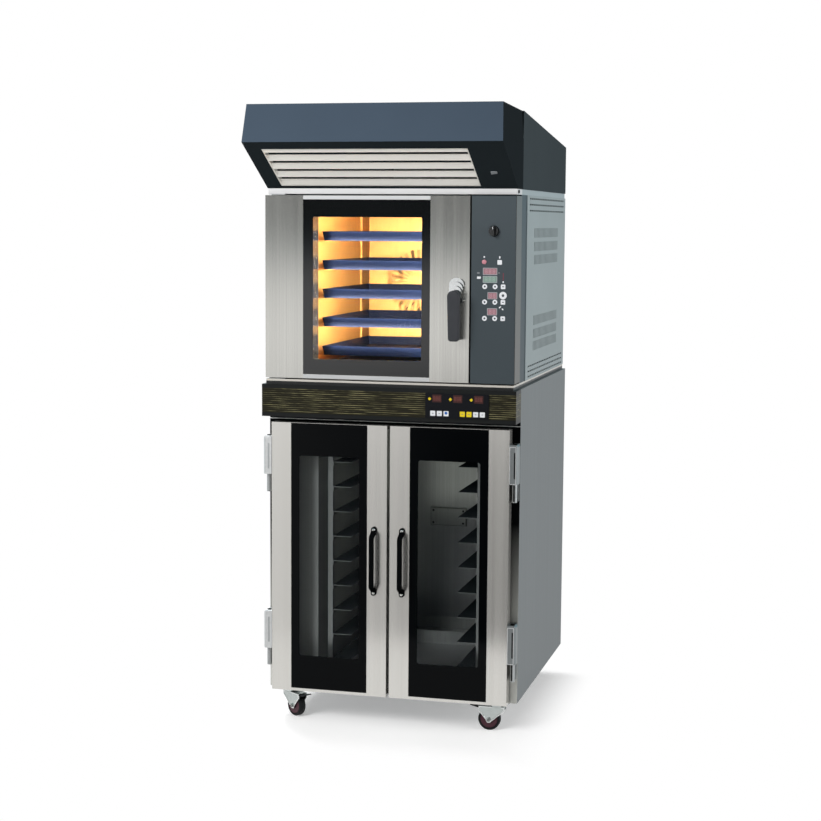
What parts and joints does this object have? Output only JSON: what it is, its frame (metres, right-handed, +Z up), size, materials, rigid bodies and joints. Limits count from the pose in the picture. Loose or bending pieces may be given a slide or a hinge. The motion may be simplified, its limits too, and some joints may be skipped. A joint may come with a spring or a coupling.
{
  "type": "convection oven",
  "caption": "Bakery convection oven with a swing door and side controls, under a louvred extraction hood and on a two-door proofing cabinet with casters.",
  "frame": {"origin": "on the floor, under the centre of the outer box", "axes": "+X to the right seen from the front, +Y to the back, +Z up"},
  "size_m": [0.928, 1.283, 2.194],
  "materials": {
    "brushed stainless": "brushed",
    "plain stainless": "satin",
    "zinc plated steel": "bright",
    "chrome": "polished",
    "slate paint": "satin",
    "grey paint": "satin",
    "olive aluminium": "satin",
    "black plastic": "matt",
    "film": "gloss",
    "glass": "clear",
    "rubber": "matt",
    "blue tray coating": "satin"
  },
  "bodies": {
    "stack": {"proofer_side_walls": "plain stainless", "proofer_back_wall": "plain stainless", "proofer_floor": "plain stainless", "proofer_roof": "plain stainless", "proofer_fascia": "olive aluminium", "proofer_keypad": "film", "proofer_racks": "plain stainless", "proofer_humidifier": "plain stainless", "proofer_hinge_posts": "zinc plated steel", "proofer_door_seal": "rubber", "caster_plates": "zinc plated steel", "oven_base": "brushed stainless", "oven_left_panel": "grey paint", "oven_right_panel": "grey paint", "oven_rear_cover": "grey paint", "oven_front_frame": "slate paint", "oven_cavity": "plain stainless", "control_housing": "brushed stainless", "control_fascia": "slate paint", "tray_ladders": "plain stainless", "baking_trays": "blue tray coating", "fan_baffle": "plain stainless", "fan_motor": "grey paint", "heater_rings": "plain stainless", "oven_lamp": "glass", "oven_door_pivots": "zinc plated steel", "rear_fittings": "zinc plated steel", "hood_shell": "slate paint", "hood_visor": "slate paint", "visor_louvres": "plain stainless", "hood_rail": "brushed stainless", "blower_housing": "plain stainless", "exhaust_spigot": "plain stainless"},
    "oven_door": {"oven_door_frame": "brushed stainless", "oven_door_glass": "glass", "oven_door_seal": "rubber", "handle_rosette": "chrome"},
    "door_lever": {"handle_lever": "black plastic"},
    "left_door": {"left_door_frame": "brushed stainless", "left_door_glass": "glass", "left_door_handle": "black plastic", "left_door_hinges": "zinc plated steel"},
    "right_door": {"right_door_frame": "brushed stainless", "right_door_glass": "glass", "right_door_handle": "black plastic", "right_door_hinges": "zinc plated steel"},
    "knob": {"control_knob": "black plastic"},
    "oven_fan": {"convection_fan": "plain stainless"},
    "hood_fan": {"blower_wheel": "plain stainless"},
    "rocker": {"hood_switch": "black plastic"},
    "fork_front_left": {"caster_fork_front_left": "zinc plated steel"},
    "wheel_front_left": {"caster_wheel_front_left": "rubber"},
    "pedal_front_left": {"brake_pedal_front_left": "zinc plated steel"},
    "fork_front_right": {"caster_fork_front_right": "zinc plated steel"},
    "wheel_front_right": {"caster_wheel_front_right": "rubber"},
    "pedal_front_right": {"brake_pedal_front_right": "zinc plated steel"},
    "fork_rear_left": {"caster_fork_rear_left": "zinc plated steel"},
    "wheel_rear_left": {"caster_wheel_rear_left": "rubber"},
    "fork_rear_right": {"caster_fork_rear_right": "zinc plated steel"},
    "wheel_rear_right": {"caster_wheel_rear_right": "rubber"}
  },
  "joints": [
    {"name": "oven_door_swing", "type": "hinge", "parent": "stack", "child": "oven_door", "pos_m": [-0.43, -0.3685, 1.57], "axis": [0, 0, -1], "range_deg": [0, 115]},
    {"name": "lever_turn", "type": "hinge", "parent": "oven_door", "child": "door_lever", "pos_m": [0.246, -0.4425, 1.55], "axis": [0, 1, 0], "range_deg": [0, 90]},
    {"name": "left_door_swing", "type": "hinge", "parent": "stack", "child": "left_door", "pos_m": [-0.44875, -0.3625, 0.6], "axis": [0, 0, -1], "range_deg": [0, 120]},
    {"name": "right_door_swing", "type": "hinge", "parent": "stack", "child": "right_door", "pos_m": [0.44875, -0.3625, 0.6], "axis": [0, 0, 1], "range_deg": [0, 120]},
    {"name": "knob_turn", "type": "hinge", "parent": "stack", "child": "knob", "pos_m": [0.373, -0.3985, 1.772], "axis": [0, -1, 0], "range_deg": [0, 270]},
    {"name": "oven_fan_spin", "type": "hinge", "parent": "stack", "child": "oven_fan", "pos_m": [-0.0805, 0.4275, 1.57], "axis": [0, 1, 0], "continuous": true},
    {"name": "hood_fan_spin", "type": "hinge", "parent": "stack", "child": "hood_fan", "pos_m": [0, 0.3015, 1.96], "axis": [0, 0, 1], "continuous": true},
    {"name": "hood_rocker", "type": "hinge", "parent": "stack", "child": "rocker", "pos_m": [0.385, -0.46693, 1.96866], "axis": [0, 0.8755, -0.4832], "range_deg": [0, 16]},
    {"name": "swivel_front_left", "type": "hinge", "parent": "stack", "child": "fork_front_left", "pos_m": [-0.385, -0.2985, 0.085], "axis": [0, 0, 1], "continuous": true},
    {"name": "roll_front_left", "type": "hinge", "parent": "fork_front_left", "child": "wheel_front_left", "pos_m": [-0.36206, -0.31456, 0.04], "axis": [0.5736, 0.8192, 0], "continuous": true},
    {"name": "brake_front_left", "type": "hinge", "parent": "fork_front_left", "child": "pedal_front_left", "pos_m": [-0.33749, -0.33177, 0.08055], "axis": [0.5736, 0.8192, 0], "range_deg": [0, 20]},
    {"name": "swivel_front_right", "type": "hinge", "parent": "stack", "child": "fork_front_right", "pos_m": [0.385, -0.2985, 0.085], "axis": [0, 0, 1], "continuous": true},
    {"name": "roll_front_right", "type": "hinge", "parent": "fork_front_right", "child": "wheel_front_right", "pos_m": [0.357, -0.2985, 0.04], "axis": [0, -1, 0], "continuous": true},
    {"name": "brake_front_right", "type": "hinge", "parent": "fork_front_right", "child": "pedal_front_right", "pos_m": [0.327, -0.2985, 0.08055], "axis": [0, -1, 0], "range_deg": [0, 20]},
    {"name": "swivel_rear_left", "type": "hinge", "parent": "stack", "child": "fork_rear_left", "pos_m": [-0.385, 0.5115, 0.085], "axis": [0, 0, 1], "continuous": true},
    {"name": "roll_rear_left", "type": "hinge", "parent": "fork_rear_left", "child": "wheel_rear_left", "pos_m": [-0.35869, 0.50192, 0.04], "axis": [0.342, 0.9397, 0], "continuous": true},
    {"name": "swivel_rear_right", "type": "hinge", "parent": "stack", "child": "fork_rear_right", "pos_m": [0.385, 0.5115, 0.085], "axis": [0, 0, 1], "continuous": true},
    {"name": "roll_rear_right", "type": "hinge", "parent": "fork_rear_right", "child": "wheel_rear_right", "pos_m": [0.35795, 0.50425, 0.04], "axis": [0.2588, -0.9659, 0], "continuous": true}
  ]
}
